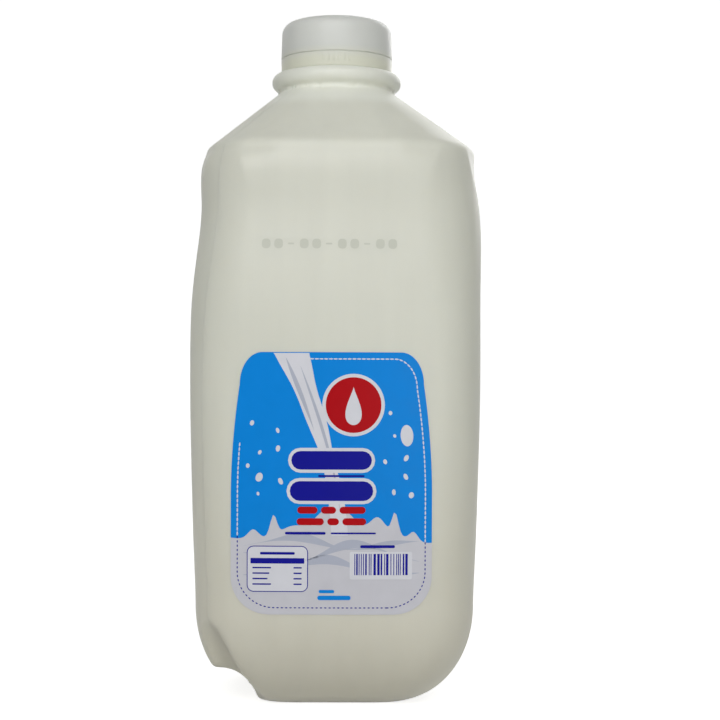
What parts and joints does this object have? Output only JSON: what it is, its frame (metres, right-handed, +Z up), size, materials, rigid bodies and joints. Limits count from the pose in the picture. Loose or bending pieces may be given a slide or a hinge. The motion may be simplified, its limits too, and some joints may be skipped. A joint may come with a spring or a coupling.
{
  "type": "plastic milk jug",
  "caption": "Square-shouldered blow-moulded plastic milk jug with a hollow corner handle, filled with milk, closed by a low snap-screw cap with its tear band, and with a sticker on the front.",
  "frame": {"origin": "middle of the base, on the surface the jug stands on", "axes": "+Z up through the neck, front with the sticker towards -Y, handle at the corner between +X and +Y"},
  "size_m": [0.1058, 0.1061, 0.25],
  "materials": {
    "jug_plastic": "satin, translucent natural polyethylene",
    "milk": "milk, opaque and smooth",
    "cap_plastic": "satin",
    "label_film": "printed film"
  },
  "bodies": {
    "root": {"jug": "jug_plastic", "milk": "milk", "cap": "cap_plastic", "front_label": "label_film"}
  },
  "joints": []
}
